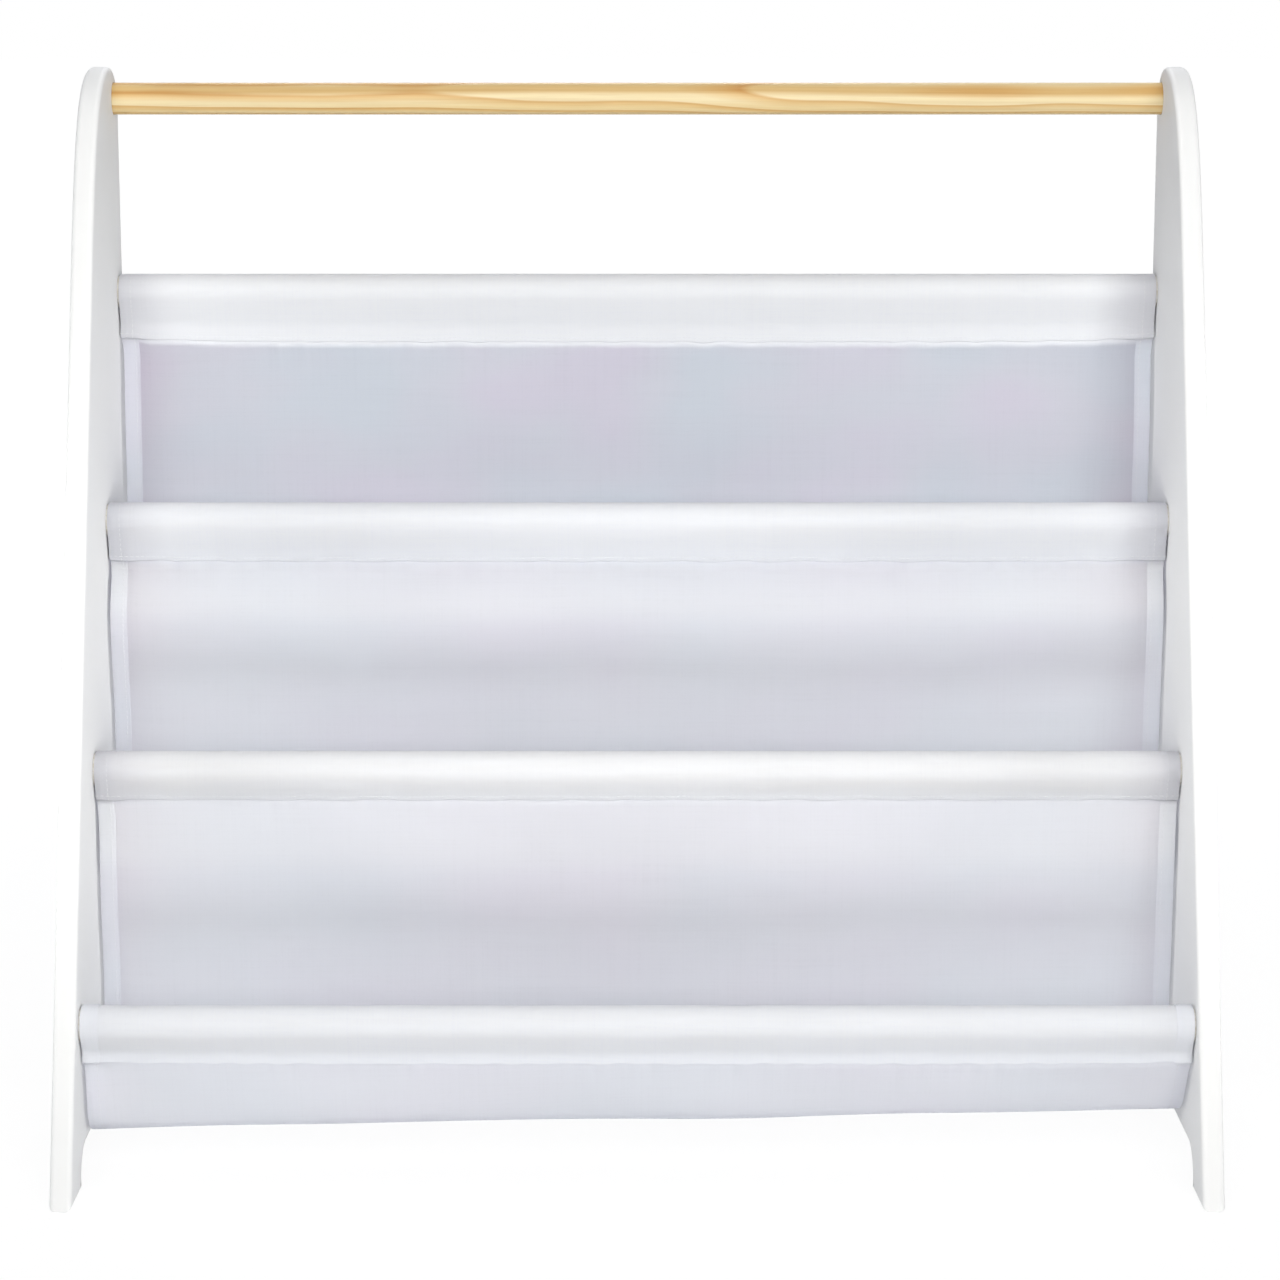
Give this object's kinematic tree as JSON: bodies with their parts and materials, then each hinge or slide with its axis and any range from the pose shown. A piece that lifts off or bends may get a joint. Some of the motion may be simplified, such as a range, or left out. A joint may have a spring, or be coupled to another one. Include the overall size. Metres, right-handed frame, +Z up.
{
  "type": "sling bookshelf",
  "caption": "Low children's bookshelf: leaning white side panels joined by round rods, with cloth pockets slung between the rods in steps and a bare pine carrying rod on top.",
  "frame": {"origin": "on the floor, under the middle of the object's box", "axes": "+X across the width, to the right as seen from the front; +Y to the back; +Z up; the pockets face -Y"},
  "size_m": [0.62, 0.275, 0.59],
  "materials": {
    "painted_board": "satin white paint on board",
    "pine": "bare pine, sanded, clear coat",
    "plain_wood": "bare, hidden in the sleeves",
    "white_cloth": "thin plain weave, matte, lets some light through",
    "bolt_steel": "zinc plated",
    "insert_metal": "cast zinc"
  },
  "bodies": {
    "root": {"left_side_panel": "painted_board", "right_side_panel": "painted_board", "handle_dowel": "pine", "sling_rod_1": "plain_wood", "sling_rod_2": "plain_wood", "sling_rod_3": "plain_wood", "sling_rod_4": "plain_wood", "upper_sling": "white_cloth", "middle_sling": "white_cloth", "lower_sling": "white_cloth", "left_bolt_1": "bolt_steel", "left_bolt_2": "bolt_steel", "left_bolt_3": "bolt_steel", "left_bolt_4": "bolt_steel", "left_bolt_5": "bolt_steel", "right_bolt_1": "bolt_steel", "right_bolt_2": "bolt_steel", "right_bolt_3": "bolt_steel", "right_bolt_4": "bolt_steel", "right_bolt_5": "bolt_steel", "left_insert_1": "insert_metal", "left_insert_2": "insert_metal", "left_insert_3": "insert_metal", "left_insert_4": "insert_metal", "left_insert_5": "insert_metal", "right_insert_1": "insert_metal", "right_insert_2": "insert_metal", "right_insert_3": "insert_metal", "right_insert_4": "insert_metal", "right_insert_5": "insert_metal"}
  },
  "joints": []
}
